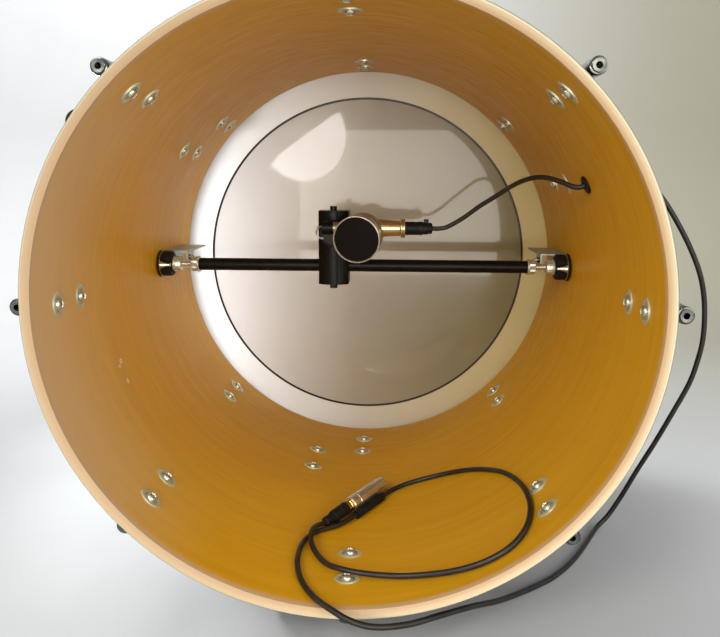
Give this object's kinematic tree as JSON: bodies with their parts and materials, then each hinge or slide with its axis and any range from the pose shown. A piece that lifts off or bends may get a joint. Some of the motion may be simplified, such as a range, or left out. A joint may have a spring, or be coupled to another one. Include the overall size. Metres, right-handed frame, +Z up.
{
  "type": "bass drum",
  "caption": "Bass drum with its batter head off and a microphone on a bar inside; front head, lugs, folding spurs, leads.",
  "frame": {"origin": "under the middle of the drum, on the surface that it stands on", "axes": "+Y along the drum from the open batter side to the front head, +Z up, +X to the right seen from the batter side"},
  "size_m": [0.6993, 0.5075, 0.615],
  "materials": {
    "shell_wood": "amber lacquer inside, bare bearing edges, dark satin outside",
    "hoop_wood": "dark satin lacquer",
    "head_film": "milky film",
    "aluminium": "satin",
    "chrome": "polished",
    "zinc": "zinc plated",
    "galvanised": "galvanised",
    "brass": "dull brass",
    "black_rubber": "matt",
    "black_metal": "black satin",
    "black_plastic": "moulded",
    "champagne": "champagne gold",
    "mesh": "blackened mesh",
    "nickel": "satin nickel",
    "cord": "satin black jacket"
  },
  "bodies": {
    "drum": {"shell": "shell_wood", "vent_grommet": "black_rubber", "lug_gaskets": "black_plastic", "batter_lugs": "chrome", "front_lugs": "chrome", "batter_swivel_nuts": "brass", "front_swivel_nuts": "brass", "lug_washers": "zinc", "lug_screws": "chrome", "front_head": "head_film", "flesh_hoop": "aluminium", "front_hoop": "hoop_wood", "claw_hooks": "chrome", "claw_pads": "black_rubber", "tom_bracket": "chrome", "spur_brackets": "chrome", "bracket_screws": "chrome", "bracket_washers": "zinc", "cross_bar": "black_metal", "bar_ends": "brass", "bar_studs": "nickel", "wall_feet": "black_rubber", "foot_pins": "chrome", "wall_pads": "black_rubber", "wall_straps": "galvanised", "mic_lead": "cord", "outer_lead": "cord", "line_plug_boot": "black_rubber", "line_plug_ring": "brass", "line_plug_barrel": "nickel", "cable_wrap": "black_rubber"},
    "tom_screw": {"tom_wing_screw": "chrome"},
    "left_spur": {"left_spur_leg": "chrome"},
    "left_extension": {"left_spur_rod": "chrome", "left_spur_tip": "black_rubber"},
    "left_bolt": {"left_spur_bolt": "chrome"},
    "lower_spur": {"lower_spur_leg": "chrome"},
    "lower_extension": {"lower_spur_rod": "chrome", "lower_spur_tip": "black_rubber"},
    "lower_bolt": {"lower_spur_bolt": "chrome"},
    "left_nut": {"left_jam_nut": "brass"},
    "right_nut": {"right_jam_nut": "brass"},
    "mic_mount": {"clamp_block": "black_metal", "clamp_screw": "black_metal", "swivel_arm": "black_metal"},
    "knob": {"swivel_knob": "black_plastic"},
    "microphone": {"mic_body": "champagne", "mic_capsule": "aluminium", "grille_ring": "champagne", "grille_mesh": "mesh", "mic_socket": "black_plastic", "mic_plug": "black_plastic"},
    "rod_1": {"tension_rod_1": "chrome"},
    "rod_2": {"tension_rod_2": "chrome"},
    "rod_3": {"tension_rod_3": "chrome"},
    "rod_4": {"tension_rod_4": "chrome"},
    "rod_5": {"tension_rod_5": "chrome"},
    "rod_6": {"tension_rod_6": "chrome"},
    "rod_7": {"tension_rod_7": "chrome"},
    "rod_8": {"tension_rod_8": "chrome"}
  },
  "joints": [
    {"name": "rod_1_turn", "type": "hinge", "parent": "drum", "child": "rod_1", "pos_m": [0.2995, 0.1953, 0.3075], "axis": [0, 1, 0], "continuous": true},
    {"name": "rod_2_turn", "type": "hinge", "parent": "drum", "child": "rod_2", "pos_m": [0.21178, 0.1953, 0.51928], "axis": [0, 1, 0], "continuous": true},
    {"name": "rod_3_turn", "type": "hinge", "parent": "drum", "child": "rod_3", "pos_m": [0, 0.1953, 0.607], "axis": [0, 1, 0], "continuous": true},
    {"name": "rod_4_turn", "type": "hinge", "parent": "drum", "child": "rod_4", "pos_m": [-0.21178, 0.1953, 0.51928], "axis": [0, 1, 0], "continuous": true},
    {"name": "rod_5_turn", "type": "hinge", "parent": "drum", "child": "rod_5", "pos_m": [-0.2995, 0.1953, 0.3075], "axis": [0, 1, 0], "continuous": true},
    {"name": "rod_6_turn", "type": "hinge", "parent": "drum", "child": "rod_6", "pos_m": [-0.21178, 0.1953, 0.09572], "axis": [0, 1, 0], "continuous": true},
    {"name": "rod_7_turn", "type": "hinge", "parent": "drum", "child": "rod_7", "pos_m": [0, 0.1953, 0.008], "axis": [0, 1, 0], "continuous": true},
    {"name": "rod_8_turn", "type": "hinge", "parent": "drum", "child": "rod_8", "pos_m": [0.21178, 0.1953, 0.09572], "axis": [0, 1, 0], "continuous": true},
    {"name": "left_spur_fold", "type": "hinge", "parent": "drum", "child": "left_spur", "pos_m": [-0.24871, 0.0803, 0.47526], "axis": [0.829, 0, -0.5592], "range_deg": [0, 110]},
    {"name": "left_spur_extend", "type": "slide", "parent": "left_spur", "child": "left_extension", "axis": [0, -1, 0], "range_m": [0, 0.08]},
    {"name": "left_bolt_turn", "type": "hinge", "parent": "drum", "child": "left_bolt", "pos_m": [-0.24871, 0.0803, 0.47526], "axis": [-0.829, 0, 0.5592], "continuous": true},
    {"name": "lower_spur_fold", "type": "hinge", "parent": "drum", "child": "lower_spur", "pos_m": [-0.07003, 0.0743, 0.01579], "axis": [-0.2334, 0, -0.9724], "range_deg": [0, 110]},
    {"name": "lower_spur_extend", "type": "slide", "parent": "lower_spur", "child": "lower_extension", "axis": [0, -1, 0], "range_m": [0, 0.08]},
    {"name": "lower_bolt_turn", "type": "hinge", "parent": "drum", "child": "lower_bolt", "pos_m": [-0.07003, 0.0743, 0.01579], "axis": [-0.2334, 0, -0.9724], "continuous": true},
    {"name": "tom_screw_turn", "type": "hinge", "parent": "drum", "child": "tom_screw", "pos_m": [0.28109, 0.0153, 0.43679], "axis": [0, 1, 0], "continuous": true},
    {"name": "left_nut_turn", "type": "hinge", "parent": "drum", "child": "left_nut", "pos_m": [-0.246, 0.0803, 0.312], "axis": [1, 0, 0], "continuous": true},
    {"name": "right_nut_turn", "type": "hinge", "parent": "drum", "child": "right_nut", "pos_m": [0.246, 0.0803, 0.312], "axis": [1, 0, 0], "continuous": true},
    {"name": "clamp_slide", "type": "slide", "parent": "drum", "child": "mic_mount", "axis": [1, 0, 0], "range_m": [-0.01, 0.05], "deforming": ["mic_lead"]},
    {"name": "knob_turn", "type": "hinge", "parent": "mic_mount", "child": "knob", "pos_m": [-0.0365, 0.0573, 0.3555], "axis": [0, 1, 0], "continuous": true},
    {"name": "mic_tilt", "type": "hinge", "parent": "mic_mount", "child": "microphone", "pos_m": [-0.04, 0.0403, 0.3645], "axis": [1, 0, 0], "range_deg": [-20, 20]}
  ]
}
